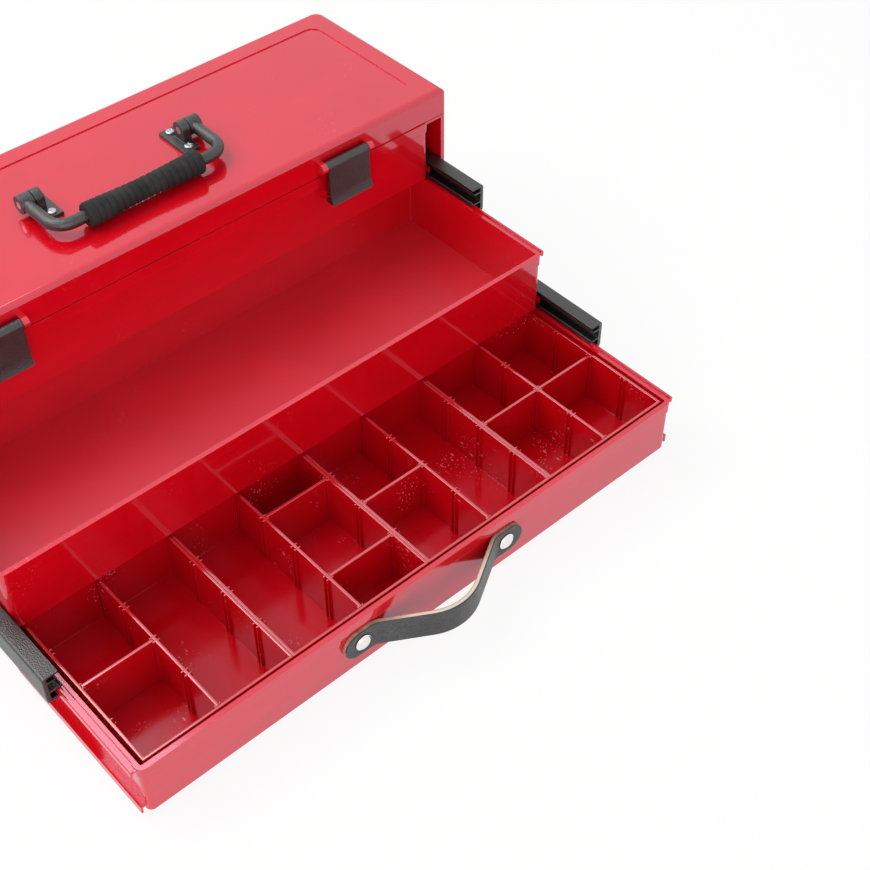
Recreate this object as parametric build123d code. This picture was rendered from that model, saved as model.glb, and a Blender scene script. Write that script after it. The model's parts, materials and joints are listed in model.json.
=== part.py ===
from build123d import *
from math import cos, radians, sin
import os

# A cascading tool case, drawn open: the parts tray is pulled out below the tool tray,
# and the tool tray below the fixed top box. Each level hangs on the one above by a pair
# of slide rails that travel half as far as the tray they carry.
# X is the width, the front looks along -Y, and Z = 0 is the surface the case stands on.
# X = Y = 0 is the middle of the closed case's footprint. Sizes are in millimetres.

# Insert boxes and their dividers
column_pitch = 50.0
row_pitch = 30.4
box_count = 4
columns_per_box = 2
rows_per_box = 4
insert_wall = 1.7
insert_floor = 1.8
box_spacing_gap = 0.3
divider_thickness = 1.9
divider_play = 0.25
slot_rib_width = 0.9
slot_rib_depth = 1.5
# Rows at which each column has a cross divider, columns counted from the left.
cross_rows = {0: (2,), 3: (1, 3), 4: (2,), 6: (2,), 7: (2,)}

# Cutters run past the faces that they open by this much.
cut_margin = 1.0

# Trays and top box
insert_margin = 1.7
tray_wall = 2.2
front_wall = 2.6
tray_floor = 2.2
tray_corner_radius = 4.0
cavity_corner_radius = 1.2
tray_foot_radius = 0.8
parts_tray_height = 41.0
tool_tray_height = 46.3
top_box_height = 46.3
front_band_height = 8.0
front_band_proud = 0.8
front_band_radius = 0.7
band_depth = 7.0
parts_tray_travel = 121.2
tool_tray_travel = 112.5

# Slide rails, and the flanges and hooked ribs that run in them
flange_reach = 4.5
flange_thickness = 2.6
flange_drop = 4.6
flange_lip = 1.4
flange_groove_width = 2.3
flange_groove_depth = 1.4
flange_edge_radius = 1.2
flange_setback = 2.5
hook_reach = 3.6
hook_height = 6.2
hook_thickness = 1.8
hook_lip = 1.3
hook_lift = 0.3
rail_setback = 12.0
rail_end_play = 0.6
rail_wall = 2.9
rail_channel_depth = 7.6
rail_shelf = 2.0
rail_web = 1.2
rail_ceiling = 1.3
rail_ceiling_recess = 2.4
rail_groove = 3.2
rail_roof = 1.5
rail_lip_width = 1.1
rail_lip_height = 1.6
rail_side_play = 0.7
slide_play = 0.35
rail_edge_radius = 1.8

# Case shell and lid
shell_wall = 3.0
base_thickness = 3.0
base_play = 0.5
case_rear_play = 1.5
base_front_setback = 24.0
shell_corner_radius = 8.0
bay_corner_radius = 1.2
rim_thickness = 2.0
lid_height = 20.0
lid_wall = 2.5
lid_seam = 0.4
lid_edge_radius = 4.0
lid_lip_depth = 2.4
lid_lip_play = 0.6
lid_panel_depth = 0.8
lid_panel_margin = 16.0
lid_panel_radius = 8.0

# Lid hinges
hinge_spacing = 260.0
hinge_knuckle_radius = 4.0
hinge_standoff = 4.6
hinge_pin_radius = 1.5
hinge_knuckle_length = 12.0
hinge_knuckle_gap = 0.4
hinge_pin_play = 0.05

# Snap latches
latch_spacing = 260.0
latch_width = 34.0
latch_length = 28.0
latch_thickness = 2.5
latch_barrel_radius = 3.5
latch_standoff = 4.1
latch_ear_width = 4.0
latch_side_play = 0.3
latch_pin_radius = 1.5
latch_pin_play = 0.05
latch_lift = 8.0
keeper_height = 4.0
keeper_proud = 2.4
keeper_play = 0.3
keeper_chamfer = 0.8
latch_lip_height = 3.0
latch_thumb_height = 7.5
latch_thumb_reach = 2.5

# Carrying handle
handle_spacing = 124.0
handle_reach = 36.0
handle_bar_radius = 4.0
handle_bend_radius = 12.0
handle_eye_radius = 6.0
handle_eye_width = 9.0
handle_pin_radius = 2.5
handle_pin_play = 0.05
handle_lift = 8.2
grip_radius = 8.0
grip_waist = 1.2
grip_length = 84.0
bracket_width = 6.0
bracket_foot_length = 30.0
bracket_foot_thickness = 2.4
bracket_gap = 0.4
screw_head_radius = 3.0
screw_head_height = 1.6
screw_head_chamfer = 0.6
screw_shank_radius = 1.4
screw_inset = 4.5

# Pull strap and its rivets
rivet_spacing = 113.0
rivet_drop = 19.2
strap_width = 20.0
strap_thickness = 3.0
strap_overhang = 13.0
strap_lean = 31.0
strap_crown_radius = 32.0
strap_root_radius = 14.5
strap_flat = 5.7
rivet_cap_radius = 5.6
rivet_cap_height = 2.2
rivet_shank_radius = 2.3
rivet_washer_radius = 4.6
rivet_washer_thickness = 0.7
rivet_tail_radius = 3.0
rivet_tail_height = 0.7

# Glide feet under the parts tray
glide_length = 34.0
glide_depth = 11.0
glide_setback = 8.0
glide_inset = 22.0
glide_corner_radius = 3.6
glide_spigot_radius = 2.0

# Sizes that follow from those above
slot_half = divider_thickness / 2 + divider_play + slot_rib_width / 2
box_width = columns_per_box * column_pitch
boxes_half = box_count * box_width / 2
insert_depth = rows_per_box * row_pitch + insert_wall
cavity_half = boxes_half + insert_wall / 2 + insert_margin
tray_half = cavity_half + tray_wall
tray_depth = front_wall + insert_margin + insert_depth + insert_margin + tray_wall
flange_half = tray_half + flange_reach
rail_inner = tray_half + rail_side_play
rail_outer = rail_inner + rail_channel_depth + rail_wall
bay_half = rail_outer + rail_side_play
case_half = bay_half + shell_wall
case_depth = tray_depth + case_rear_play + shell_wall
case_front = -case_depth / 2
case_back = case_depth / 2
rail_length = case_depth - shell_wall - rail_setback - rail_end_play

level_gap = slide_play + rail_web + slide_play - hook_lift
parts_tray_z = base_thickness + base_play
parts_rim_z = parts_tray_z + parts_tray_height
tool_tray_z = parts_rim_z + level_gap
tool_rim_z = tool_tray_z + tool_tray_height
top_box_z = tool_rim_z + level_gap
top_rim_z = top_box_z + top_box_height
lid_z = top_rim_z + lid_seam
lid_top_z = lid_z + lid_height
hinge_y = case_back + hinge_standoff
hinge_z = top_rim_z + lid_seam / 2
latch_y = case_front - latch_standoff
latch_z = lid_z + latch_lift
handle_z = lid_top_z + handle_lift
hinge_half_length = 1.5 * hinge_knuckle_length + hinge_knuckle_gap
cheek_x = handle_spacing / 2 - handle_eye_width / 2 - bracket_gap - bracket_width

tool_tray_front = case_front - tool_tray_travel
parts_tray_front = tool_tray_front - parts_tray_travel
upper_rail_front = case_front + rail_setback - tool_tray_travel / 2
lower_rail_front = tool_tray_front + rail_setback - parts_tray_travel / 2


def block(x, y, z):
    """A block between a low and a high limit on each axis."""
    size = (x[1] - x[0], y[1] - y[0], z[1] - z[0])
    return Pos(x[0], y[0], z[0]) * Box(*size, align=(Align.MIN, Align.MIN, Align.MIN))


def mirrored(shape):
    """The shape's copy on the other side of the case's middle plane."""
    return mirror(shape, Plane.YZ)


def x_rod(radius, x, y, z):
    """A round rod along X between two X limits."""
    rod = Cylinder(radius, x[1] - x[0], align=(Align.CENTER, Align.CENTER, Align.MIN))
    return Pos(x[0], y, z) * Rot(0, 90, 0) * rod


def slot_ribs(face_x, first_line):
    """Upright rib pairs that guide a cross divider at each row, as flat outlines."""
    ribs = []
    for row in range(1, rows_per_box):
        for offset in (-slot_half, slot_half):
            y = first_line + row * row_pitch + offset
            ribs.append(Pos(face_x, y) * Rectangle(2 * slot_rib_depth, slot_rib_width))
    return ribs


def insert_box(index):
    """One lift-out box with slotted side walls. Its front wall is at the low Y end."""
    centre = -boxes_half + (index + 0.5) * box_width
    half = (box_width - box_spacing_gap) / 2
    front = parts_tray_front + front_wall + insert_margin
    floor_z = parts_tray_z + tray_floor
    inner_half = half - insert_wall
    inner_front = front + insert_wall
    inner_back = front + insert_depth - insert_wall
    outline = Pos(centre, front + insert_depth / 2) * Rectangle(2 * half, insert_depth)
    hollow = Pos(centre, front + insert_depth / 2) * Rectangle(
        2 * inner_half, inner_back - inner_front
    )
    first_line = front + insert_wall / 2
    walls = outline - hollow
    walls += slot_ribs(centre - inner_half, first_line)
    walls += slot_ribs(centre + inner_half, first_line)
    for end_y in (inner_front, inner_back):
        for offset in (-slot_half, slot_half):
            walls += Pos(centre + offset, end_y) * Rectangle(slot_rib_width, 2 * slot_rib_depth)
    height = parts_rim_z - floor_z
    floor = Pos(0, 0, floor_z) * extrude(outline, insert_floor)
    sides = Pos(0, 0, floor_z) * extrude(walls, height)
    return sides + floor


def long_divider(index):
    """The thin divider down the middle of one box, ribbed on both faces."""
    centre = -boxes_half + (index + 0.5) * box_width
    front = parts_tray_front + front_wall + insert_margin
    low = front + insert_wall + divider_play
    high = front + insert_depth - insert_wall - divider_play
    outline = Pos(centre, (low + high) / 2) * Rectangle(divider_thickness, high - low)
    first_line = front + insert_wall / 2
    half = divider_thickness / 2
    outline += slot_ribs(centre + half, first_line)
    outline += slot_ribs(centre - half, first_line)
    base_z = parts_tray_z + tray_floor + insert_floor
    return Pos(0, 0, base_z) * extrude(outline, parts_rim_z - base_z - divider_play)


def cross_divider(column, row):
    """A short divider across one column, held in the slots of the walls beside it."""
    box_centre = -boxes_half + (column // columns_per_box + 0.5) * box_width
    side = -1 if column % columns_per_box == 0 else 1
    box_face = (box_width - box_spacing_gap) / 2 - insert_wall
    inner = box_centre + side * (divider_thickness / 2 + divider_play)
    outer = box_centre + side * (box_face - divider_play)
    front = parts_tray_front + front_wall + insert_margin
    y = front + insert_wall / 2 + row * row_pitch
    base_z = parts_tray_z + tray_floor + insert_floor
    return block(
        (min(inner, outer), max(inner, outer)),
        (y - divider_thickness / 2, y + divider_thickness / 2),
        (base_z, parts_rim_z - divider_play),
    )


def open_box(front, z, height):
    """A tray body: walls and floor, open on top, with its raised band along the front."""
    back = front + tray_depth
    body = block((-tray_half, tray_half), (front, back), (z, z + height))
    body = fillet(body.edges().filter_by(Axis.Z), tray_corner_radius)
    body = fillet(body.faces().sort_by(Axis.Z)[0].edges(), tray_foot_radius)
    hollow = block(
        (-cavity_half, cavity_half),
        (front + front_wall, back - tray_wall),
        (z + tray_floor, z + height + cut_margin),
    )
    hollow = fillet(hollow.edges().filter_by(Axis.Z), cavity_corner_radius)
    band = block(
        (-tray_half - front_band_proud, tray_half + front_band_proud),
        (front - front_band_proud, front + band_depth),
        (z + height - front_band_height, z + height),
    )
    front_edges = band.edges().filter_by(Axis.Z).group_by(Axis.Y)[0]
    band = fillet(front_edges, tray_corner_radius + front_band_proud)
    band = fillet(band.faces().sort_by(Axis.Z)[0].edges(), front_band_radius)
    return body + band - hollow


def side_flange(front, rim_z):
    """The right-hand top flange: a grooved shelf and a turned-down lip, run by a rail."""
    length = (front + flange_setback, front + tray_depth - tray_corner_radius)
    shelf = block((cavity_half, flange_half), length, (rim_z - flange_thickness, rim_z))
    shelf += block(
        (flange_half - flange_lip, flange_half), length, (rim_z - flange_drop, rim_z)
    )
    outer_edge = shelf.edges().filter_by(Axis.Y).group_by(Axis.Z)[-1].sort_by(Axis.X)[-1]
    shelf = fillet(outer_edge, flange_edge_radius)
    groove = block(
        (tray_half, tray_half + flange_groove_width),
        (length[0] - cut_margin, length[1] + cut_margin),
        (rim_z - flange_groove_depth, rim_z + cut_margin),
    )
    return shelf - groove


def side_hook(front, base_z):
    """The right-hand hooked rib low on a side wall, which rides in a rail's upper slot."""
    length = (front + flange_setback, front + tray_depth - tray_corner_radius)
    top = base_z + hook_height
    tip = tray_half + hook_reach
    shelf = block((cavity_half, tip), length, (top - hook_thickness, top))
    return shelf + block((tip - hook_lip, tip), length, (base_z + hook_lift, top))


def strap_hole(front, x):
    """The cutter for a rivet's hole through a tray's front wall."""
    hole = Cylinder(rivet_shank_radius, 2 * (front_wall + cut_margin))
    return Pos(x, front, parts_rim_z - rivet_drop) * Rot(90, 0, 0) * hole


def parts_tray_shell():
    body = open_box(parts_tray_front, parts_tray_z, parts_tray_height)
    flange = side_flange(parts_tray_front, parts_rim_z)
    hook = side_hook(parts_tray_front, parts_tray_z)
    body += [flange, hook, mirrored(flange), mirrored(hook)]
    for side in (-1, 1):
        body -= strap_hole(parts_tray_front, side * rivet_spacing / 2)
        body -= Pos(side * glide_x(), glide_y(), parts_tray_z) * Cylinder(
            glide_spigot_radius, 2 * (tray_floor + cut_margin)
        )
    return body


def tool_tray_shell():
    body = open_box(tool_tray_front, tool_tray_z, tool_tray_height)
    flange = side_flange(tool_tray_front, tool_rim_z)
    hook = side_hook(tool_tray_front, tool_tray_z)
    return body + [flange, hook, mirrored(flange), mirrored(hook)]


def latch_keeper(x):
    """The ridge on the top box's front that a latch snaps over."""
    top = latch_z - latch_length + latch_lip_height + keeper_play + keeper_height
    ridge = block(
        (x - latch_width / 2, x + latch_width / 2),
        (case_front - keeper_proud, case_front + front_wall / 2),
        (top - keeper_height, top),
    )
    return chamfer(ridge.edges().filter_by(Axis.X).group_by(Axis.Y)[0], keeper_chamfer)


def hinge_knuckle(x, z_low, z_high):
    """A hinge barrel with the web that ties it to the wall in front of it."""
    span = (x - hinge_knuckle_length / 2, x + hinge_knuckle_length / 2)
    barrel = x_rod(hinge_knuckle_radius, span, hinge_y, hinge_z)
    web = block(span, (case_back - shell_wall / 2, hinge_y), (z_low, z_high))
    return barrel + web


def hinge_bore(x, radius):
    """The cutter for a hinge pin's hole through all the knuckles at one hinge."""
    reach = hinge_half_length + cut_margin
    return x_rod(radius, (x - reach, x + reach), hinge_y, hinge_z)


def top_box():
    """The fixed top compartment. Its rim sits on the shell, and its hooks carry the rails."""
    body = open_box(case_front, top_box_z, top_box_height)
    rim = block((-case_half, case_half), (case_front, case_back), (0, rim_thickness))
    rim = fillet(rim.edges().filter_by(Axis.Z).group_by(Axis.Y)[-1], shell_corner_radius)
    rim = Pos(0, 0, top_rim_z - rim_thickness) * rim
    rim -= block(
        (-cavity_half, cavity_half),
        (case_front + front_wall, case_front + tray_depth - tray_wall),
        (top_box_z + tray_floor, lid_z),
    )
    hook = side_hook(case_front, top_box_z)
    body += [rim, hook, mirrored(hook)]
    for side in (-1, 1):
        x = side * hinge_spacing / 2
        step = hinge_knuckle_length + hinge_knuckle_gap
        body += latch_keeper(side * latch_spacing / 2)
        for offset in (-step, step):
            body += hinge_knuckle(x + offset, top_rim_z - rim_thickness, top_rim_z)
        body -= hinge_bore(x, hinge_pin_radius)
    return body


def case_shell():
    """Base, back and side walls in one piece, open in front for the trays."""
    top = top_rim_z - rim_thickness
    body = block((-case_half, case_half), (case_front, case_back), (0, top))
    body = fillet(body.edges().filter_by(Axis.Z).group_by(Axis.Y)[-1], shell_corner_radius)
    bay = block(
        (-bay_half, bay_half),
        (case_front - cut_margin, case_back - shell_wall),
        (base_thickness, top + cut_margin),
    )
    bay = fillet(bay.edges().filter_by(Axis.Z).group_by(Axis.Y)[-1], bay_corner_radius)
    doorway = block(
        (-bay_half, bay_half),
        (case_front - cut_margin, case_front + base_front_setback),
        (-cut_margin, base_thickness + cut_margin),
    )
    return body - bay - doorway


def lid_shell():
    """The lid: a shallow cap with a lip inside the top box's rim and a sunk top panel."""
    body = block((-case_half, case_half), (case_front, case_back), (lid_z, lid_top_z))
    body = fillet(body.edges().filter_by(Axis.Z).group_by(Axis.Y)[-1], shell_corner_radius)
    body = fillet(body.faces().sort_by(Axis.Z)[-1].edges(), lid_edge_radius)
    hollow = block(
        (-case_half + lid_wall, case_half - lid_wall),
        (case_front + lid_wall, case_back - lid_wall),
        (lid_z - cut_margin, lid_top_z - lid_wall),
    )
    inner_radius = shell_corner_radius - lid_wall
    hollow = fillet(hollow.edges().filter_by(Axis.Z).group_by(Axis.Y)[-1], inner_radius)
    panel = block(
        (-case_half + lid_panel_margin, case_half - lid_panel_margin),
        (case_front + lid_panel_margin, case_back - lid_panel_margin),
        (lid_top_z - lid_panel_depth, lid_top_z + cut_margin),
    )
    panel = fillet(panel.edges().filter_by(Axis.Z), lid_panel_radius)
    body = body - hollow - panel
    lip_half = cavity_half - lid_lip_play
    lip_front = case_front + front_wall + lid_lip_play
    lip_back = case_front + tray_depth - tray_wall - lid_lip_play
    lip_top = lid_top_z - lid_wall
    lip = block((-lip_half, lip_half), (lip_front, lip_back), (lid_z - lid_lip_depth, lip_top))
    lip -= block(
        (-lip_half + lid_wall, lip_half - lid_wall),
        (lip_front + lid_wall, lip_back - lid_wall),
        (lid_z - lid_lip_depth - cut_margin, lid_top_z),
    )
    body += lip
    for side in (-1, 1):
        x = side * hinge_spacing / 2
        body += hinge_knuckle(x, lid_z, hinge_z + hinge_knuckle_radius)
        body -= hinge_bore(x, hinge_pin_radius + hinge_pin_play)
        body += latch_ears(side * latch_spacing / 2)
        for end in (-1, 1):
            body -= bracket_screw(side, end, screw_shank_radius)
    return body


def latch_ears(x):
    """The two ears on the lid's front that carry a latch's pin."""
    ears = []
    inner = latch_width / 2 + latch_side_play
    for side in (-1, 1):
        near = x + side * inner
        far = x + side * (inner + latch_ear_width)
        span = (min(near, far), max(near, far))
        ear = x_rod(latch_barrel_radius, span, latch_y, latch_z)
        ear += block(
            span,
            (latch_y, case_front + lid_wall / 2),
            (latch_z - latch_barrel_radius, latch_z + latch_barrel_radius),
        )
        ears.append(ear - x_rod(latch_pin_radius, span, latch_y, latch_z))
    return ears


def latch(x):
    """A snap latch: a barrel on its pin, a hanging plate and a lip by the keeper's foot."""
    span = (x - latch_width / 2, x + latch_width / 2)
    outer_y = latch_y - latch_barrel_radius
    inner_y = outer_y + latch_thickness
    bottom = latch_z - latch_length
    body = x_rod(latch_barrel_radius, span, latch_y, latch_z)
    body += block(span, (outer_y, inner_y), (bottom, latch_z))
    body += block(
        span,
        (outer_y, case_front - keeper_proud - keeper_play),
        (bottom, bottom + latch_lip_height),
    )
    thumb = Plane.YZ.offset(span[0]) * make_face(
        Polyline(
            (outer_y, bottom),
            (outer_y - latch_thumb_reach, bottom),
            (outer_y, bottom + latch_thumb_height),
            close=True,
        )
    )
    body += extrude(thumb, latch_width)
    return body - x_rod(latch_pin_radius + latch_pin_play, span, latch_y, latch_z)


def latch_pins():
    reach = latch_width / 2 + latch_side_play + latch_ear_width
    pins = []
    for side in (-1, 1):
        x = side * latch_spacing / 2
        pins.append(x_rod(latch_pin_radius, (x - reach, x + reach), latch_y, latch_z))
    return Compound(children=pins)


def hinge_pins():
    pins = []
    for side in (-1, 1):
        x = side * hinge_spacing / 2
        span = (x - hinge_half_length, x + hinge_half_length)
        pins.append(x_rod(hinge_pin_radius, span, hinge_y, hinge_z))
    return Compound(children=pins)


def slide_rail(front, rim_z):
    """The right-hand rail: two hooked channels and an open groove in from an outer wall."""
    flange_top = rim_z + slide_play
    web_top = flange_top + rail_web
    lip_seat = rim_z - flange_drop - slide_play
    ceiling = rim_z + level_gap + hook_height + slide_play
    ceiling_top = ceiling + rail_ceiling
    roof_top = ceiling_top + rail_groove + rail_roof
    shelves = (
        (lip_seat - rail_shelf, lip_seat),
        (flange_top, web_top),
        (roof_top - rail_roof, roof_top),
    )
    lip = (rail_inner, rail_inner + rail_lip_width)
    length = (front, front + rail_length)
    body = block((rail_outer - rail_wall, rail_outer), length, (lip_seat - rail_shelf, roof_top))
    for level in shelves:
        body += block((rail_inner, rail_outer), length, level)
    body += block((rail_inner + rail_ceiling_recess, rail_outer), length, (ceiling, ceiling_top))
    body += block(lip, length, (lip_seat, lip_seat + rail_lip_height))
    body += block(lip, length, (web_top, web_top + rail_lip_height))
    outer_edges = body.edges().filter_by(Axis.Y).group_by(Axis.X)[-1]
    return fillet(outer_edges, rail_edge_radius)


def strap_path(depth):
    """Half of the strap's bent line, a given depth out from its inner face."""
    lean = radians(strap_lean)
    crown = strap_crown_radius + depth
    root = strap_root_radius - depth
    flat_start = rivet_spacing / 2 - strap_flat
    run = (flat_start - (strap_crown_radius + strap_root_radius) * sin(lean)) / cos(lean)
    bow = (strap_crown_radius + strap_root_radius) * (1 - cos(lean)) + run * sin(lean)
    seat = parts_tray_front
    peak = (0, seat - bow - depth)
    first = JernArc(start=peak, tangent=(1, 0), radius=crown, arc_size=strap_lean)
    second = Line(first @ 1, (first @ 1) + (first % 1) * run)
    third = JernArc(start=second @ 1, tangent=second % 1, radius=root, arc_size=-strap_lean)
    end = (rivet_spacing / 2 + strap_overhang, seat - depth)
    return [first, second, third, Line(third @ 1, end)]


def pull_strap():
    """A leather strap bowed out between two rivets, with round ends."""
    inner = strap_path(0)
    outer = strap_path(strap_thickness)
    close_end = Line(inner[-1] @ 1, outer[-1] @ 1)
    close_middle = Line(inner[0] @ 0, outer[0] @ 0)
    face = make_face(Curve() + inner + outer + [close_end, close_middle])
    z = parts_rim_z - rivet_drop
    half = Pos(0, 0, z - strap_width / 2) * extrude(face, strap_width)
    strap = half + mirrored(half)
    length = rivet_spacing + 2 * strap_overhang
    ends = Plane.XZ * SlotOverall(length, strap_width)
    reach = strap_crown_radius + strap_root_radius
    ends = Pos(0, parts_tray_front, z) * extrude(ends, reach, both=True)
    strap = strap & ends
    for side in (-1, 1):
        hole = Cylinder(rivet_shank_radius, 2 * (strap_thickness + cut_margin))
        strap -= Pos(side * rivet_spacing / 2, parts_tray_front, z) * Rot(90, 0, 0) * hole
    return strap


def strap_rivet(x):
    """A domed rivet through the strap and the tray's front wall, with its peened tail."""
    z = parts_rim_z - rivet_drop
    head_y = parts_tray_front - strap_thickness
    inner_y = parts_tray_front + front_wall
    tail_y = inner_y + rivet_washer_thickness
    dome_radius = (rivet_cap_radius**2 + rivet_cap_height**2) / (2 * rivet_cap_height)
    dome = Pos(0, 0, rivet_cap_height - dome_radius) * Sphere(dome_radius)
    dome &= Cylinder(rivet_cap_radius, rivet_cap_height, align=(Align.CENTER, Align.CENTER, Align.MIN))
    shank_length = tail_y - head_y
    shank = Pos(0, 0, -shank_length) * Cylinder(
        rivet_shank_radius, shank_length, align=(Align.CENTER, Align.CENTER, Align.MIN)
    )
    tail = Pos(0, 0, -shank_length - rivet_tail_height) * Cylinder(
        rivet_tail_radius, rivet_tail_height, align=(Align.CENTER, Align.CENTER, Align.MIN)
    )
    rivet = dome + shank + tail
    return Pos(x, head_y, z) * Rot(90, 0, 0) * rivet


def strap_rivets():
    return Compound(children=[strap_rivet(side * rivet_spacing / 2) for side in (-1, 1)])


def rivet_washers():
    z = parts_rim_z - rivet_drop
    y = parts_tray_front + front_wall
    washers = []
    for side in (-1, 1):
        washer = Cylinder(
            rivet_washer_radius,
            rivet_washer_thickness,
            align=(Align.CENTER, Align.CENTER, Align.MAX),
        )
        washer -= Cylinder(rivet_shank_radius, 2 * (rivet_washer_thickness + cut_margin))
        washers.append(Pos(side * rivet_spacing / 2, y, z) * Rot(90, 0, 0) * washer)
    return Compound(children=washers)


def glide_x():
    return tray_half - glide_inset - glide_length / 2


def glide_y():
    return parts_tray_front + glide_setback + glide_depth / 2


def tray_glides():
    """Two rubber feet that carry the parts tray's front and slide in front of the base."""
    glides = []
    for side in (-1, 1):
        outline = RectangleRounded(glide_length, glide_depth, glide_corner_radius)
        foot = extrude(outline, parts_tray_z)
        foot += Cylinder(
            glide_spigot_radius,
            parts_tray_z + tray_floor,
            align=(Align.CENTER, Align.CENTER, Align.MIN),
        )
        glides.append(Pos(side * glide_x(), glide_y(), 0) * foot)
    return Compound(children=glides)


def handle_brackets():
    """Two black feet screwed to the lid, each with an upright cheek for a handle pin."""
    brackets = []
    base_z = lid_top_z - lid_panel_depth
    for side in (-1, 1):
        near = side * cheek_x
        far = side * (cheek_x + bracket_width)
        span = (min(near, far), max(near, far))
        cheek = x_rod(handle_eye_radius, span, 0, handle_z)
        cheek += block(span, (-handle_eye_radius, handle_eye_radius), (base_z, handle_z))
        foot_far = side * (cheek_x - bracket_width)
        foot_span = (min(foot_far, far), max(foot_far, far))
        foot = block(
            foot_span,
            (-bracket_foot_length / 2, bracket_foot_length / 2),
            (base_z, base_z + bracket_foot_thickness),
        )
        bracket = foot + cheek - x_rod(handle_pin_radius, span, 0, handle_z)
        for end in (-1, 1):
            bracket -= bracket_screw(side, end, screw_shank_radius)
        brackets.append(bracket)
    return Compound(children=brackets)


def bracket_screw_place(side, end):
    return (side * cheek_x, end * (bracket_foot_length / 2 - screw_inset))


def bracket_screw(side, end, radius):
    x, y = bracket_screw_place(side, end)
    bottom = lid_top_z - lid_wall
    top = lid_top_z - lid_panel_depth + bracket_foot_thickness
    shank = Cylinder(radius, top - bottom, align=(Align.CENTER, Align.CENTER, Align.MIN))
    return Pos(x, y, bottom) * shank


def bracket_screws():
    """Four pan-head screws that hold the handle's brackets to the lid."""
    screws = []
    top = lid_top_z - lid_panel_depth + bracket_foot_thickness
    for side in (-1, 1):
        for end in (-1, 1):
            x, y = bracket_screw_place(side, end)
            head = Pos(x, y, top) * Cylinder(
                screw_head_radius,
                screw_head_height,
                align=(Align.CENTER, Align.CENTER, Align.MIN),
            )
            head = chamfer(head.edges().sort_by(Axis.Z)[-1], screw_head_chamfer)
            screws.append(head + bracket_screw(side, end, screw_shank_radius))
    return Compound(children=screws)


def handle_pins():
    outer = handle_spacing / 2 + handle_eye_width / 2
    pins = []
    for side in (-1, 1):
        ends = (side * cheek_x, side * outer)
        pins.append(x_rod(handle_pin_radius, (min(ends), max(ends)), 0, handle_z))
    return Compound(children=pins)


def handle_bail():
    """A bent bar with an eye at each end. It lies folded towards the front."""
    half = handle_spacing / 2
    points = [(-half, 0), (-half, -handle_reach), (half, -handle_reach), (half, 0)]
    path = FilletPolyline(*points, radius=handle_bend_radius)
    path = Pos(0, 0, handle_z) * path
    start = Plane(origin=path @ 0, z_dir=path % 0)
    bar = sweep(start * Circle(handle_bar_radius), path=path)
    for side in (-1, 1):
        x = side * half
        span = (x - handle_eye_width / 2, x + handle_eye_width / 2)
        bar += x_rod(handle_eye_radius, span, 0, handle_z)
    for side in (-1, 1):
        x = side * half
        span = (x - handle_eye_width, x + handle_eye_width)
        bar -= x_rod(handle_pin_radius + handle_pin_play, span, 0, handle_z)
    return bar


def handle_grip():
    """A soft sleeve on the bar, waisted in the middle."""
    half = grip_length / 2
    outline = make_face(
        Curve()
        + [
            Line((-half, handle_bar_radius), (half, handle_bar_radius)),
            Line((half, handle_bar_radius), (half, grip_radius)),
            ThreePointArc((half, grip_radius), (0, grip_radius - grip_waist), (-half, grip_radius)),
            Line((-half, grip_radius), (-half, handle_bar_radius)),
        ]
    )
    sleeve = revolve(outline, Axis.X)
    return Pos(0, -handle_reach, handle_z) * sleeve


def save(name, shape):
    shape.label = name
    export_step(shape, os.path.join("parts", name + ".step"))


def save_pair(name, shape):
    """A right-hand piece and its mirror image, each as its own node."""
    save(name + "_right", shape)
    save(name + "_left", mirrored(shape))


def build():
    os.makedirs("parts", exist_ok=True)
    save("case_shell", case_shell())
    save("top_box", top_box())
    save("hinge_pins", hinge_pins())
    save("lid_shell", lid_shell())
    save("latch_pins", latch_pins())
    save_pair("latch", latch(latch_spacing / 2))
    save("handle_brackets", handle_brackets())
    save("bracket_screws", bracket_screws())
    save("handle_pins", handle_pins())
    save("handle_bail", handle_bail())
    save("handle_grip", handle_grip())
    save_pair("upper_rail", slide_rail(upper_rail_front, tool_rim_z))
    save_pair("lower_rail", slide_rail(lower_rail_front, parts_rim_z))
    save("tool_tray_shell", tool_tray_shell())
    save("parts_tray_shell", parts_tray_shell())
    for index in range(box_count):
        save(f"insert_box_{index + 1}", insert_box(index))
        save(f"long_divider_{index + 1}", long_divider(index))
    for column, rows in cross_rows.items():
        for row in rows:
            save(f"cross_divider_{column + 1}_{row}", cross_divider(column, row))
    save("pull_strap", pull_strap())
    save("strap_rivets", strap_rivets())
    save("rivet_washers", rivet_washers())
    save("tray_glides", tray_glides())


build()
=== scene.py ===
import json
import math

import bmesh
import bpy
from mathutils import Euler, Matrix, Vector


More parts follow.
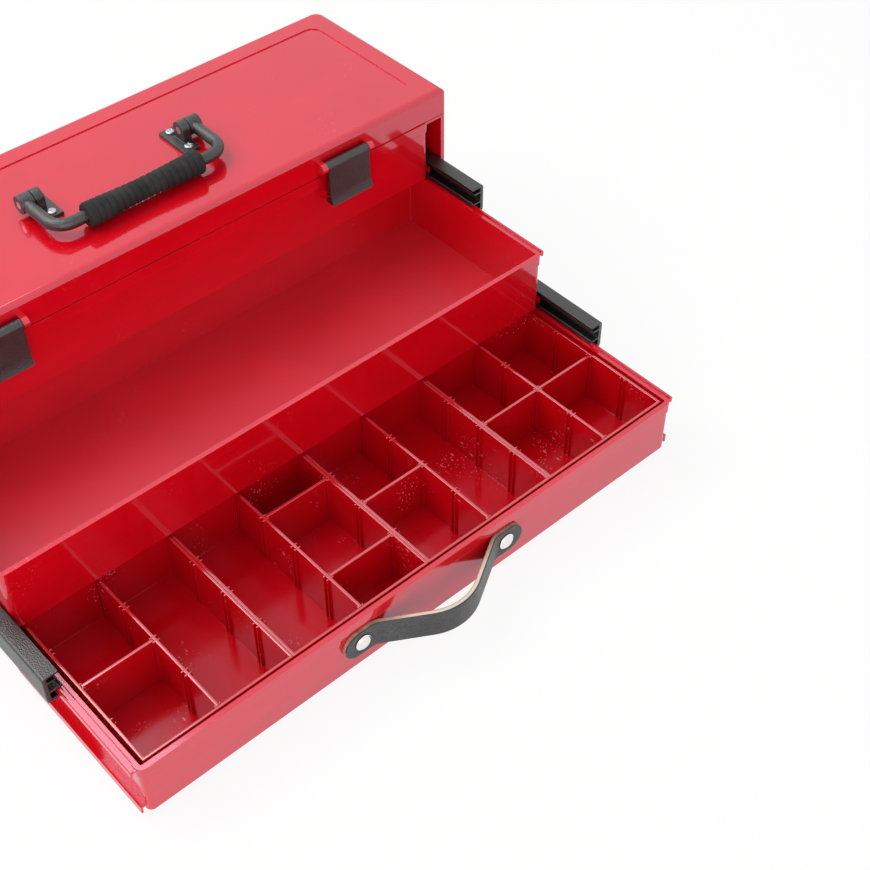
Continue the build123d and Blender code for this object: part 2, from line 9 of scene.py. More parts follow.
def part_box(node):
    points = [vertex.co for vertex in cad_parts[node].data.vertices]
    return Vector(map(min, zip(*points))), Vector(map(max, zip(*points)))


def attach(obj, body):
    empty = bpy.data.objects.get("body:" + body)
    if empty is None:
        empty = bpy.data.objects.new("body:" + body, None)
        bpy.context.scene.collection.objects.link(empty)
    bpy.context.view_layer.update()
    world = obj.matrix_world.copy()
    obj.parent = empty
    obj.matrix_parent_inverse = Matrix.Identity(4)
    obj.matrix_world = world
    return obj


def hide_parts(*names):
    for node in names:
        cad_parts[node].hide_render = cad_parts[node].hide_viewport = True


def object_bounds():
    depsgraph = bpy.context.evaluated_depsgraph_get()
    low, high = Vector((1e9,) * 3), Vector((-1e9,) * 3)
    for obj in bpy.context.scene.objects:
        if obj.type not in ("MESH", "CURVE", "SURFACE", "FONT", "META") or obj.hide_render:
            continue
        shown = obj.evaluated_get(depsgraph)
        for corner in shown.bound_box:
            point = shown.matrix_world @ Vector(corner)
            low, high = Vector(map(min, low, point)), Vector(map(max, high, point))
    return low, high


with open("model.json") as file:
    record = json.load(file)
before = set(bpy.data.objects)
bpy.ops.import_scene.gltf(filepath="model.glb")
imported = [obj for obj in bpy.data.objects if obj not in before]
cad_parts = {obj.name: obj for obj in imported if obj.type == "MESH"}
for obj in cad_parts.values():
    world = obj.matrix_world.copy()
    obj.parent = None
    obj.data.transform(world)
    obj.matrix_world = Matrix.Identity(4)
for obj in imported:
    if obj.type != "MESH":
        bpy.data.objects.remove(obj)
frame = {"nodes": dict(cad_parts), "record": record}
cad_low, cad_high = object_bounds()
NODES = frame["nodes"]
MM = 0.001

# Camera, in metres and degrees, solved from the photograph's straight edges
CAMERA_PLACE = (-0.37683, -0.72489, 0.73254)
CAMERA_AZIMUTH = 41.787
CAMERA_ELEVATION = 45.608
CAMERA_ROLL = -0.2
CAMERA_LENS = 63.286
SENSOR = 36.0


# ---------------------------------------------------------------- material helpers


class Nodes:
    """A small builder for one material's node tree."""

    def __init__(self, name):
        self.material = bpy.data.materials.new(name)
        self.material.use_nodes = True
        self.tree = self.material.node_tree
        self.shader = self.tree.nodes["Principled BSDF"]
        self.place = self.add("ShaderNodeTexCoord").outputs["Object"]

    def add(self, kind, **settings):
        node = self.tree.nodes.new(kind)
        for key, value in settings.items():
            setattr(node, key, value)
        return node

    def link(self, source, target):
        self.tree.links.new(source, target)

    def feed(self, socket, value):
        """Gives a socket a plain number, a plain colour or another node's output."""
        if isinstance(value, tuple):
            socket.default_value = (*value, 1.0)
        elif isinstance(value, (int, float)):
            socket.default_value = value
        else:
            self.link(value, socket)

    def set(self, **values):
        for key, value in values.items():
            self.shader.inputs[key.replace("_", " ")].default_value = value

    def mapped(self, scale, turn=(0, 0, 0)):
        node = self.add("ShaderNodeMapping")
        node.inputs["Scale"].default_value = scale
        node.inputs["Rotation"].default_value = turn
        self.link(self.place, node.inputs["Vector"])
        return node.outputs[0]

    def noise(self, scale, detail=4.0, roughness=0.55, vector=None, distortion=0.0):
        node = self.add("ShaderNodeTexNoise")
        node.inputs["Scale"].default_value = scale
        node.inputs["Detail"].default_value = detail
        node.inputs["Roughness"].default_value = roughness
        node.inputs["Distortion"].default_value = distortion
        self.link(vector or self.place, node.inputs["Vector"])
        return node.outputs["Fac"]

    def cells(self, scale, vector=None):
        node = self.add("ShaderNodeTexVoronoi", feature="F1")
        node.inputs["Scale"].default_value = scale
        self.link(vector or self.place, node.inputs["Vector"])
        return node.outputs["Distance"]

    def ramp(self, source, stops):
        node = self.add("ShaderNodeValToRGB")
        elements = node.color_ramp.elements
        while len(elements) < len(stops):
            elements.new(0.5)
        for element, (at, colour) in zip(elements, stops):
            element.position = at
            element.color = (*colour, 1.0)
        self.link(source, node.inputs["Fac"])
        return node.outputs["Color"]

    def span(self, source, low, high, source_low=0.0, source_high=1.0):
        node = self.add("ShaderNodeMapRange")
        for key, value in (
            ("From Min", source_low),
            ("From Max", source_high),
            ("To Min", low),
            ("To Max", high),
        ):
            node.inputs[key].default_value = value
        self.link(source, node.inputs["Value"])
        return node.outputs[0]

    def math(self, operation, a, b):
        node = self.add("ShaderNodeMath", operation=operation)
        for socket, value in zip(node.inputs, (a, b)):
            self.feed(socket, value)
        return node.outputs[0]

    def mix(self, factor, a, b):
        """Mixes two colours. Sockets 0, 6 and 7 are the colour mix's factor, A and B."""
        node = self.add("ShaderNodeMix", data_type="RGBA")
        for index, value in ((0, factor), (6, a), (7, b)):
            self.feed(node.inputs[index], value)
        return node.outputs[2]

    def distance(self, source, point):
        node = self.add("ShaderNodeVectorMath", operation="DISTANCE")
        self.link(source, node.inputs[0])
        node.inputs[1].default_value = point
        return node.outputs["Value"]

    def bump(self, height, distance, strength=1.0, below=None):
        node = self.add("ShaderNodeBump")
        node.inputs["Strength"].default_value = strength
        node.inputs["Distance"].default_value = distance
        self.link(height, node.inputs["Height"])
        if below is not None:
            self.link(below, node.inputs["Normal"])
        return node.outputs[0]

    def colour(self, source):
        self.link(source, self.shader.inputs["Base Color"])

    def rough(self, source):
        self.link(source, self.shader.inputs["Roughness"])

    def normal(self, source):
        self.link(source, self.shader.inputs["Normal"])


def scuffs(m):
    """Sparse fine scratches that run every way, as a 0 to 1 mask."""
    fineness = 420.0
    stretch = 0.035
    threshold = 0.70
    lines = None
    for turn in (0.4, 1.3, 2.3):
        scale = (fineness, fineness * stretch, fineness)
        stretched = m.mapped(scale, (0.5 * turn, 0.3 * turn, turn))
        streak = m.noise(1.0, 2.0, 0.5, stretched)
        streak = m.span(streak, 0.0, 1.0, threshold, threshold + 0.04)
        lines = streak if lines is None else m.math("MAXIMUM", lines, streak)
    patches = m.span(m.noise(9.0, 2.0), 0.0, 1.0, 0.48, 0.62)
    return m.math("MULTIPLY", lines, patches)


def swarf_marks(m):
    """Short pale nicks and filings' dust that gather in a few places, as a 0 to 1 mask."""
    long_cells = m.cells(260.0, m.mapped((1.0, 0.34, 0.7), (0.3, 0.5, 0.9)))
    short_cells = m.cells(620.0, m.mapped((0.5, 1.0, 0.8), (0.8, 0.2, 0.4)))
    nicks = m.span(long_cells, 1.0, 0.0, 0.06, 0.18)
    dust = m.span(short_cells, 1.0, 0.0, 0.06, 0.24)
    where = m.span(m.noise(24.0, 3.0, 0.6), 0.0, 1.0, 0.56, 0.66)
    return m.math("MULTIPLY", m.math("MAXIMUM", nicks, dust), where)


def facing_up(m, comparison, level):
    """1 on faces that look up and lie above or below a height, else 0."""
    least_upward = 0.6
    place = m.add("ShaderNodeSeparateXYZ")
    m.link(m.place, place.inputs[0])
    facing = m.add("ShaderNodeSeparateXYZ")
    m.link(m.add("ShaderNodeTexCoord").outputs["Normal"], facing.inputs[0])
    there = m.math(comparison, place.outputs["Z"], level)
    upward = m.math("GREATER_THAN", facing.outputs["Z"], least_upward)
    return m.math("MULTIPLY", there, upward)


def red_plastic(name, tones, roughness, shine, marked, floor_level=None, rim_level=None):
    """Glossy moulded plastic: faint flow marks, haze from handling, fine scuffs and nicks.
    Faces that look up have a fine matt grain below the floor level, and a brighter gloss
    above the rim level, where these are given."""
    scraped = (0.86, 0.42, 0.50)
    m = Nodes(name)
    flow = m.noise(14.0, 3.0, 0.5, m.mapped((1.0, 1.0, 2.6)), 0.6)
    base = m.ramp(flow, [(0.30, tones[0]), (0.72, tones[1])])
    marks = swarf_marks(m)
    m.colour(m.mix(m.math("MULTIPLY", marks, marked), base, scraped))
    scratch = scuffs(m)
    rough = m.span(m.noise(38.0, 5.0, 0.6), roughness * 0.75, roughness * 1.35, 0.3, 0.7)
    rough = m.math("ADD", rough, m.math("MULTIPLY", scratch, 0.16))
    rough = m.math("ADD", rough, m.math("MULTIPLY", marks, 0.4 * marked))
    waves = m.bump(m.noise(22.0, 2.0, 0.4), 1.0 * MM, 0.06)
    relief = m.bump(m.noise(260.0, 2.0, 0.5), 0.12 * MM, 0.16, waves)
    if floor_level is not None:
        grained = facing_up(m, "LESS_THAN", floor_level)
        rough = m.math("ADD", rough, m.math("MULTIPLY", grained, 0.40))
        pebbles = m.math("MULTIPLY", m.cells(1300.0), grained)
        relief = m.bump(pebbles, 0.05 * MM, 0.5, relief)
    if rim_level is not None:
        m.link(facing_up(m, "GREATER_THAN", rim_level), m.shader.inputs["Coat Weight"])
        m.set(Coat_Roughness=0.10, Coat_IOR=2.0)
    m.rough(rough)
    m.normal(m.bump(scratch, -0.03 * MM, 0.5, relief))
    m.set(IOR=1.5, Specular_IOR_Level=shine, Specular_Tint=(0.80, 0.80, 1.0, 1.0))
    return m.material


def black_plastic():
    """Satin black plastic with a pebbled grain."""
    m = Nodes("grained_black_plastic")
    tone = m.noise(45.0, 4.0)
    m.colour(m.ramp(tone, [(0.35, (0.0035, 0.0035, 0.0040)), (0.70, (0.0080, 0.0078, 0.0080))]))
    m.rough(m.span(m.noise(120.0, 4.0), 0.28, 0.42))
    m.normal(m.bump(m.cells(1150.0), 0.20 * MM, 0.9))
    m.set(IOR=1.5, Specular_IOR_Level=1.0)
    return m.material


def black_rubber():
    """Matt rubber with a fine sprayed look and worn lighter patches."""
    m = Nodes("matt_black_rubber")
    wear = m.noise(60.0, 5.0, 0.65)
    m.colour(m.ramp(wear, [(0.40, (0.012, 0.012, 0.012)), (0.75, (0.035, 0.034, 0.033))]))
    m.rough(m.span(m.noise(200.0, 3.0), 0.62, 0.85))
    m.normal(m.bump(m.noise(1800.0, 3.0), 0.08 * MM, 0.5))
    m.set(IOR=1.45, Specular_IOR_Level=0.4)
    return m.material


def steel():
    """Plain steel with fine tool marks and slight tarnish."""
    m = Nodes("turned_steel")
    tarnish = m.noise(150.0, 5.0, 0.6)
    m.colour(m.ramp(tarnish, [(0.35, (0.46, 0.46, 0.47)), (0.70, (0.62, 0.62, 0.63))]))
    m.rough(m.span(m.noise(420.0, 4.0), 0.22, 0.38))
    m.normal(m.bump(m.noise(2600.0, 2.0), 0.03 * MM, 0.4))
    m.set(Metallic=1.0)
    return m.material


def chrome():
    """Bright nickel plate with faint ripples and the haze of fingerprints."""
    m = Nodes("bright_nickel")
    haze = m.noise(240.0, 5.0, 0.65)
    m.colour(m.ramp(haze, [(0.30, (0.80, 0.79, 0.78)), (0.75, (0.90, 0.90, 0.90))]))
    m.rough(m.span(haze, 0.07, 0.20, 0.35, 0.75))
    m.normal(m.bump(m.noise(500.0, 2.0), 0.02 * MM, 0.3))
    m.set(Metallic=1.0)
    return m.material


def rivet_distance(m):
    """How far a point of the strap is from the nearer rivet's axis, which runs along y."""
    mirrored = m.add("ShaderNodeVectorMath", operation="ABSOLUTE")
    m.link(m.mapped((1.0, 0.0, 1.0)), mirrored.inputs[0])
    return m.distance(mirrored.outputs["Vector"], RIVET_AXIS)


def leather_face():
    """Coated black leather: pebbled grain, creases, a soft sheen, and painted shade: a dark
    ring round each rivet, where the pressed-in leather lies in shade."""
    between_pebbles = (0.010, 0.010, 0.012)
    painted_rivet_shade = (0.0035, 0.0034, 0.0034)
    m = Nodes("black_grain_leather")
    squeezed = m.mapped((1.0, 1.0, 1.25))
    pebbles = m.cells(720.0, squeezed)
    creases = m.noise(160.0, 6.0, 0.7, squeezed, 0.8)
    tone = m.noise(70.0, 4.0, 0.6)
    base = m.ramp(tone, [(0.35, (0.026, 0.027, 0.030)), (0.72, (0.056, 0.057, 0.062))])
    dull = m.span(pebbles, 0.0, 1.0, 0.25, 0.75)
    base = m.mix(m.math("MULTIPLY", dull, 0.7), base, between_pebbles)
    # Painted shade: the leather round each rivet is darkened, standing in for the shade where it
    # is pressed in.
    ring = m.span(rivet_distance(m), 1.0, 0.0, 5.0 * MM, 8.5 * MM)
    ring = m.math("MULTIPLY", ring, m.span(m.noise(330.0, 4.0, 0.7), 0.45, 1.0, 0.4, 0.6))
    m.colour(m.mix(ring, base, painted_rivet_shade))
    m.rough(m.span(creases, 0.38, 0.60, 0.3, 0.7))
    relief = m.bump(creases, 0.35 * MM, 0.6)
    m.normal(m.bump(m.math("SUBTRACT", 1.0, pebbles), 0.22 * MM, 0.8, relief))
    m.set(IOR=1.5, Specular_IOR_Level=0.65, Sheen_Weight=0.15, Sheen_Roughness=0.4)
    return m.material


def leather_cut(name, light, dark, pale):
    """Raw cut leather: packed fibres in thin layers along the strap, and painted light: paler
    towards the strap's middle, where the edge catches more light."""
    m = Nodes(name)
    fibres = m.noise(900.0, 6.0, 0.75, m.mapped((0.22, 0.22, 1.0)))
    blotch = m.noise(140.0, 3.0, 0.6)
    # Painted light: the leather turns paler away from the rivets, standing in for the light the
    # edge catches towards the strap's middle.
    painted_light_share = m.span(rivet_distance(m), 0.0, 0.75, 12.0 * MM, 34.0 * MM)
    base = m.ramp(fibres, [(0.30, dark), (0.68, light)])
    base = m.mix(m.span(blotch, 0.0, 0.45, 0.42, 0.7), base, dark)
    m.colour(m.mix(painted_light_share, base, pale))
    m.rough(m.span(fibres, 0.72, 0.92))
    m.normal(m.bump(fibres, 0.25 * MM, 0.7))
    m.set(IOR=1.45, Specular_IOR_Level=0.3, Sheen_Weight=0.3, Sheen_Roughness=0.5)
    return m.material


STRAP_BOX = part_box("pull_strap")
RIVET_X = 56.5 * MM
RIVET_AXIS = (RIVET_X, 0.0, (STRAP_BOX[0][2] + STRAP_BOX[1][2]) / 2)
RIM_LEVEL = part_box("insert_box_1")[1][2] - 4.0 * MM
TOOL_TRAY_FLOOR_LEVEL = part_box("tool_tray_shell")[0][2] + 6.0 * MM
SHELL_FINISH = {
    "tones": ((0.66, 0.0012, 0.0080), (0.74, 0.0022, 0.0120)),
    "roughness": 0.085,
    "shine": 1.27,
    "marked": 0.12,
}

RED = red_plastic("glossy_red_plastic", **SHELL_FINISH)
RED_INSERT = red_plastic(
    "glossy_red_insert",
    tones=((0.55, 0.0010, 0.0060), (0.63, 0.0018, 0.0100)),
    roughness=0.15,
    shine=0.45,
    marked=0.85,
    rim_level=RIM_LEVEL,
)
BLACK = black_plastic()
RUBBER = black_rubber()
STEEL = steel()
CHROME = chrome()
LEATHER = leather_face()
# The last colour of each is the painted light the leather is mixed towards at the strap's middle.
LEATHER_EDGE = leather_cut(
    "raw_leather_edge", (0.66, 0.45, 0.32), (0.24, 0.14, 0.08), (0.86, 0.72, 0.60)
)
LEATHER_BACK = leather_cut(
    "suede_leather_back", (0.34, 0.235, 0.15), (0.17, 0.11, 0.065), (0.42, 0.31, 0.21)
)

SLOT_MATERIALS = {
    "red_plastic": RED,
    "red_insert": RED_INSERT,
    "black_plastic": BLACK,
    "black_rubber": RUBBER,
    "steel": STEEL,
    "rivet_chrome": CHROME,
    "strap_leather": LEATHER,
}


# ---------------------------------------------------------------- carried-over nodes


EDGE_ANGLE = math.radians(38)
EDGE_WIDTHS = {
    "red_plastic": 0.35 * MM,
    "red_insert": 0.28 * MM,
    "black_plastic": 0.40 * MM,
    "black_rubber": 0.50 * MM,
    "steel": 0.10 * MM,
    "rivet_chrome": 0.12 * MM,
}


def soften_edges(obj, width):
    """Rounded edges, because no moulded or turned edge is perfectly sharp."""
    weld = obj.modifiers.new("weld", "WELD")
    weld.merge_threshold = 0.002 * MM
    bevel = obj.modifiers.new("edges", "BEVEL")
    bevel.width = width
    bevel.segments = 2
    bevel.limit_method = "ANGLE"
    bevel.angle_limit = EDGE_ANGLE
    bevel.miter_outer = "MITER_ARC"
    bevel.harden_normals = False
    shade = obj.modifiers.new("shade", "WEIGHTED_NORMAL")
    shade.keep_sharp = False
    shade.weight = 60


for row in frame["record"]["subparts"]:
    obj = NODES[row["node"]]
    kind = row["material_slot"]
    for socket in obj.material_slots:
        socket.material = SLOT_MATERIALS[kind]
    if kind in EDGE_WIDTHS:
        soften_edges(obj, EDGE_WIDTHS[kind])

for socket in NODES["tool_tray_shell"].material_slots:
    socket.material = red_plastic(
        "red_plastic_grained_floor", **SHELL_FINISH, floor_level=TOOL_TRAY_FLOOR_LEVEL
    )


# ---------------------------------------------------------------- mesh helpers


def new_piece(name, bm, material, body, node):
    """Makes an object of a bmesh, which rides on a body and stands for a CAD node."""
    bmesh.ops.recalc_face_normals(bm, faces=bm.faces)
    mesh = bpy.data.meshes.new(name)
    bm.to_mesh(mesh)
    bm.free()
    obj = bpy.data.objects.new(name, mesh)
    bpy.context.scene.collection.objects.link(obj)
    mesh.materials.append(material)
    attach(obj, body)
    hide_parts(node)
    return obj


def lathe(bm, profile, place, turns=64):
    """Turns (along, radius) points round an axis. place(along, radius, angle) gives a point."""
    angles = [2 * math.pi * k / turns for k in range(turns)]
    rings = [
        [bm.verts.new(place(along, radius, angle)) for angle in angles]
        for along, radius in profile
    ]
    for a, b in zip(rings, rings[1:]):
        for k in range(turns):
            n = (k + 1) % turns
            bm.faces.new((a[k], a[n], b[n], b[k])).smooth = True
    return rings


def close_ring(bm, ring, point):
    """Closes a ring with a fan of faces round a point."""
    hub = bm.verts.new(point)
    for k in range(len(ring)):
        bm.faces.new((hub, ring[k], ring[(k + 1) % len(ring)])).smooth = True


# ---------------------------------------------------------------- pull strap


STRAP_WIDTH = 20.0 * MM
STRAP_THICKNESS = 3.0 * MM
STRAP_LEAN = math.radians(31.0)
STRAP_CROWN = 32.0 * MM
STRAP_ROOT = 14.5 * MM
STRAP_FLAT = 5.7 * MM
STRAP_END = RIVET_X + 13.0 * MM
CROWN_STEPS = 14
RUN_STEPS = 12
ROOT_STEPS = 10
END_STEPS = 36
WIDTH_STEPS = 24


def strap_line(wall_y):
    """Half of the strap's inner line from the middle to one end: points and normals."""
    lean = STRAP_LEAN
    flat_start = RIVET_X - STRAP_FLAT
    run = (flat_start - (STRAP_CROWN + STRAP_ROOT) * math.sin(lean)) / math.cos(lean)
    bow = (STRAP_CROWN + STRAP_ROOT) * (1 - math.cos(lean)) + run * math.sin(lean)
    line = []
    for k in range(CROWN_STEPS + 1):
        a = lean * k / CROWN_STEPS
        x = STRAP_CROWN * math.sin(a)
        y = wall_y - bow + STRAP_CROWN * (1 - math.cos(a))
        line.append((Vector((x, y)), a))
    start = line[-1][0]
    step = Vector((math.cos(lean), math.sin(lean)))
    for k in range(1, RUN_STEPS + 1):
        line.append((start + step * (run * k / RUN_STEPS), lean))
    centre = line[-1][0] + Vector((math.sin(lean), -math.cos(lean))) * STRAP_ROOT
    for k in range(1, ROOT_STEPS + 1):
        a = lean * (1 - k / ROOT_STEPS)
        line.append((centre + Vector((-math.sin(a), math.cos(a))) * STRAP_ROOT, a))
    first = line[-1][0].x
    for k in range(1, END_STEPS + 1):
        # The steps get shorter towards the round end.
        part = math.sin(0.5 * math.pi * k / END_STEPS)
        line.append((Vector((first + (STRAP_END - first) * part, wall_y)), 0.0))
    return line


def strap_section(half_width):
    """The outline of the strap's cross-section: (across, depth, zone) points in a ring.
    Zone 0 is the outer face, 1 the cut edge and 2 the inner face."""
    t = STRAP_THICKNESS
    rounding = min(0.7 * MM, half_width * 0.6)
    flat = half_width - rounding
    across = [2 * k / WIDTH_STEPS - 1 for k in range(WIDTH_STEPS + 1)]
    corner = [(math.sin(a), math.cos(a)) for a in (0.125 * math.pi * k for k in range(1, 5))]
    ring = [(part * flat, t, 0) for part in across]
    ring += [(flat + rounding * u, t - rounding * (1 - v), 0) for u, v in corner]
    ring += [(half_width, (t - rounding) * (1 - k / 5), 1) for k in range(1, 5)]
    ring += [(-part * half_width, 0.0, 2) for part in across]
    ring += [(-half_width, (t - rounding) * k / 5, 1) for k in range(1, 5)]
    ring += [(-flat - rounding * u, t - rounding * (1 - v), 0) for u, v in reversed(corner)]
    return ring


def pressed_in(gap):
    """How deep the leather is pressed in at a distance from a rivet's axis."""
    depth = 0.5 * MM
    reach = 7.2 * MM
    return depth * math.exp(-((gap / reach) ** 6))


def build_strap():
    """The bowed leather strap with round ends. Its edges wander slightly, as cut ones do."""
    low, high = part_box("pull_strap")
    centre_z = (low[2] + high[2]) / 2
    half = strap_line(high[1])
    whole = [(Vector((-p.x, p.y)), -a) for p, a in reversed(half[1:])] + half
    radius = STRAP_WIDTH / 2
    narrowest = 0.35 * MM
    wander = 0.05 * MM
    zones = [zone for _, _, zone in strap_section(radius)]
    bm = bmesh.new()
    rings = []
    for point, angle in whole:
        past = max(0.0, abs(point.x) - (STRAP_END - radius))
        width = math.sqrt(max(radius * radius - past * past, narrowest**2))
        normal = Vector((math.sin(angle), -math.cos(angle)))
        ring = []
        for across, depth, zone in strap_section(width):
            z = centre_z + across
            if zone == 0:
                depth -= pressed_in(Vector((abs(point.x) - RIVET_X, across)).length)
            elif zone == 1:
                z += wander * math.sin(point.x * 95.0 + across * 60.0)
            place = point + normal * depth
            ring.append(bm.verts.new((place.x, place.y, z)))
        rings.append(ring)
    count = len(zones)
    for a, b in zip(rings, rings[1:]):
        for k in range(count):
            n = (k + 1) % count
            face = bm.faces.new((a[k], a[n], b[n], b[k]))
            face.material_index = max(zones[k], zones[n])
            face.smooth = True
    for ring in (rings[0], rings[-1]):
        bm.faces.new(ring).material_index = 1
    strap = new_piece(
        "leather_pull_strap", bm, LEATHER, "parts_tray", "pull_strap"
    )
    strap.data.materials.append(LEATHER_EDGE)
    strap.data.materials.append(LEATHER_BACK)


build_strap()


# ---------------------------------------------------------------- lathe-built pieces


def build_grip():
    """The handle's rubber sleeve: rounded end collars and close rings between them."""
    low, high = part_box("handle_grip")
    middle = [(a + b) / 2 for a, b in zip(low, high)]
    half = (high[0] - low[0]) / 2
    outer = (high[2] - low[2]) / 2
    bore = 4.0 * MM
    waist = 1.2 * MM
    groove = 0.9 * MM
    collar = 6.0 * MM
    edge = 1.6 * MM
    pitch = 4.5 * MM
    count = 220
    profile = [(-half, bore)]
    for k in range(count + 1):
        x = -half + 2 * half * k / count
        radius = outer - waist * math.cos(0.5 * math.pi * x / half) ** 2
        inside = half - abs(x)
        if inside > collar:
            wave = 0.5 + 0.5 * math.cos(2 * math.pi * x / pitch)
            radius -= groove * wave**6
        if inside < edge:
            radius -= edge - math.sqrt(edge * edge - (edge - inside) ** 2)
        profile.append((x, radius))
    profile.append((half, bore))

    def place(along, radius, angle):
        return (
            middle[0] + along,
            middle[1] + radius * math.cos(angle),
            middle[2] + radius * math.sin(angle),
        )

    bm = bmesh.new()
    lathe(bm, profile, place)
    new_piece("ribbed_rubber_grip", bm, RUBBER, "handle", "handle_grip")


def build_rivets():
    """Two domed rivets: rolled-under cap, shank and peened tail, turned in one piece each."""
    low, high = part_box("strap_rivets")
    cap_radius = (high[2] - low[2]) / 2
    centre_z = (low[2] + high[2]) / 2
    front = low[1]
    back = high[1]
    dome = 2.2 * MM
    roll = 0.45 * MM
    shank = 2.3 * MM
    tail_radius = 3.0 * MM
    tail = 0.7 * MM
    fullness = 0.86
    dome_steps = 20
    roll_steps = 6
    tail_steps = 8
    profile = []
    for k in range(1, dome_steps + 1):
        share = k / dome_steps
        drop = (1 - math.sqrt(1 - fullness * share**2)) / (1 - math.sqrt(1 - fullness))
        profile.append((front + (dome - roll) * drop, (cap_radius - roll) * share))
    middle = front + dome - roll
    for k in range(1, roll_steps + 1):
        a = 0.5 * math.pi * k / roll_steps
        profile.append((middle + roll * (1 - math.cos(a)), cap_radius - roll + roll * math.sin(a)))
    profile += [(front + dome, cap_radius - 0.3 * MM), (front + dome, shank)]
    profile += [(back - tail, shank), (back - tail, tail_radius - 0.2 * MM)]
    for k in range(tail_steps):
        a = 0.5 * math.pi * k / tail_steps
        profile.append((back - tail + tail * math.sin(a), tail_radius * math.cos(a)))
    bm = bmesh.new()
    for side in (-1, 1):

        def place(along, radius, angle, side=side):
            return (
                side * RIVET_X + radius * math.cos(angle),
                along,
                centre_z + radius * math.sin(angle),
            )

        rings = lathe(bm, profile, place, 56)
        close_ring(bm, rings[0], (side * RIVET_X, front, centre_z))
        close_ring(bm, rings[-1], (side * RIVET_X, back, centre_z))
    new_piece("domed_rivets", bm, CHROME, "parts_tray", "strap_rivets")


def cross_recess(across, along, head_radius):
    """How deep the cross recess is at a point of a screw's head, from 0 to 1."""
    arm = head_radius * 0.16
    reach = head_radius * 0.56
    best = 0.0
    for u, v in ((across, along), (along, across)):
        side = 1.0 - (abs(u) / arm) ** 4
        end = 1.0 - (abs(v) / reach) ** 4
        best = max(best, min(side, end))
    return max(0.0, best) ** 0.5


def build_screws():
    """Pan-head screws with cross recesses, in place of the plain ones."""
    low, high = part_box("bracket_screws")
    radius = 3.0 * MM
    height = 1.6 * MM
    crown = 0.6 * height
    recess = 0.85 * MM
    shank = 1.4 * MM
    rows = 18
    top = high[2]
    profile = []
    for k in range(1, rows + 1):
        share = k / rows
        profile.append((top - crown * (1 - math.sqrt(1 - share**2.6)), radius * share))
    profile += [(top - height, radius), (top - height, shank), (low[2], shank)]
    xs = (low[0] + radius, high[0] - radius)
    ys = (low[1] + radius, high[1] - radius)
    bm = bmesh.new()
    for index, (cx, cy) in enumerate((x, y) for x in xs for y in ys):
        turned = 0.35 + 0.8 * index

        def place(along, r, angle, cx=cx, cy=cy, turned=turned):
            z = along
            if along > top - 0.7 * height:
                u = r * math.cos(angle + turned)
                v = r * math.sin(angle + turned)
                z -= recess * cross_recess(u, v, radius)
            return (cx + r * math.cos(angle), cy + r * math.sin(angle), z)

        rings = lathe(bm, profile, place)
        close_ring(bm, rings[0], (cx, cy, top - recess))
        bm.faces.new(rings[-1])
    new_piece("cross_head_screws", bm, STEEL, "lid", "bracket_screws")


build_grip()
build_rivets()
build_screws()


# ---------------------------------------------------------------- camera, light, floor


def add_camera():
    data = bpy.data.cameras.new("camera")
    data.lens = CAMERA_LENS
    data.sensor_width = SENSOR
    data.sensor_fit = "HORIZONTAL"
    data.clip_end = 20.0
    camera = bpy.data.objects.new("camera", data)
    bpy.context.scene.collection.objects.link(camera)
    turn = Euler(
        (math.radians(90 - CAMERA_ELEVATION), 0, -math.radians(CAMERA_AZIMUTH))
    ).to_matrix()
    turn = turn @ Matrix.Rotation(math.radians(CAMERA_ROLL), 3, "Z")
    camera.matrix_world = Matrix.Translation(CAMERA_PLACE) @ turn.to_4x4()
    bpy.context.scene.camera = camera


def add_softbox(name, place, aim, size, power):
    data = bpy.data.lights.new(name, "AREA")
    data.shape = "RECTANGLE"
    data.size, data.size_y = size
    data.energy = power
    lamp = bpy.data.objects.new(name, data)
    bpy.context.scene.collection.objects.link(lamp)
    lamp.location = place
    lamp.rotation_euler = (Vector(aim) - Vector(place)).to_track_quat("-Z", "Y").to_euler()


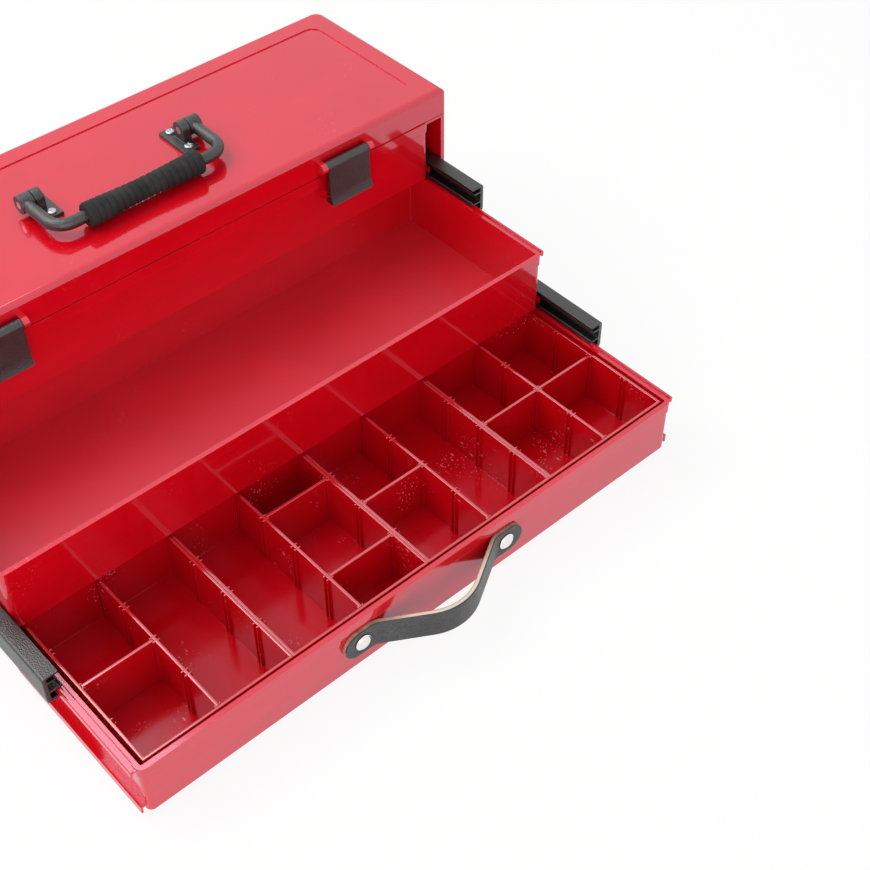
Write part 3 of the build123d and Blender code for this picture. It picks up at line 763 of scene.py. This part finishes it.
def seen_white(tree, lit, shares):
    """Joins a plain white glow to a lit shader. The glow has its own share of each ray kind."""
    nodes, links = tree.nodes, tree.links
    path = nodes.new("ShaderNodeLightPath")
    total = None
    for ray, share in shares.items():
        part = nodes.new("ShaderNodeMath")
        part.operation = "MULTIPLY"
        links.new(path.outputs[ray], part.inputs[0])
        part.inputs[1].default_value = share
        if total is None:
            total = part.outputs[0]
            continue
        larger = nodes.new("ShaderNodeMath")
        larger.operation = "MAXIMUM"
        links.new(total, larger.inputs[0])
        links.new(part.outputs[0], larger.inputs[1])
        total = larger.outputs[0]
    glow = nodes.new("ShaderNodeEmission")
    mix = nodes.new("ShaderNodeMixShader")
    links.new(total, mix.inputs[0])
    links.new(lit, mix.inputs[1])
    links.new(glow.outputs[0], mix.inputs[2])
    return mix.outputs[0]


def add_floor():
    below = 0.2 * MM
    bpy.ops.mesh.primitive_plane_add(size=14.0, location=(0, 0, cad_low[2] - below))
    floor = bpy.context.object
    floor.name = "floor"
    material = bpy.data.materials.new("pale_floor")
    material.use_nodes = True
    tree = material.node_tree
    shader = tree.nodes["Principled BSDF"]
    shader.inputs["Base Color"].default_value = (0.93, 0.93, 0.93, 1)
    shader.inputs["Roughness"].default_value = 0.9
    shader.inputs["Specular IOR Level"].default_value = 0.0
    out = tree.nodes["Material Output"]
    shares = {"Is Camera Ray": 0.90, "Is Glossy Ray": 0.95}
    tree.links.new(seen_white(tree, shader.outputs[0], shares), out.inputs["Surface"])
    floor.data.materials.append(material)


def set_world():
    world = bpy.data.worlds.new("studio")
    bpy.context.scene.world = world
    world.use_nodes = True
    tree = world.node_tree
    tree.nodes.clear()
    dim = tree.nodes.new("ShaderNodeBackground")
    dim.inputs["Color"].default_value = (1.0, 0.99, 0.98, 1)
    dim.inputs["Strength"].default_value = 0.60
    out = tree.nodes.new("ShaderNodeOutputWorld")
    shares = {"Is Camera Ray": 1.0, "Is Glossy Ray": 1.0, "Is Transmission Ray": 1.0}
    tree.links.new(seen_white(tree, dim.outputs[0], shares), out.inputs["Surface"])


add_camera()
add_softbox("key", (-0.55, 0.60, 1.40), (0.0, -0.15, 0.05), (1.5, 1.3), 18.0)
add_softbox("fill", (-0.85, -1.35, 0.5), (0.05, -0.15, 0.05), (1.3, 1.0), 6.0)
add_floor()
set_world()

scene = bpy.context.scene
scene.view_settings.view_transform = "Standard"
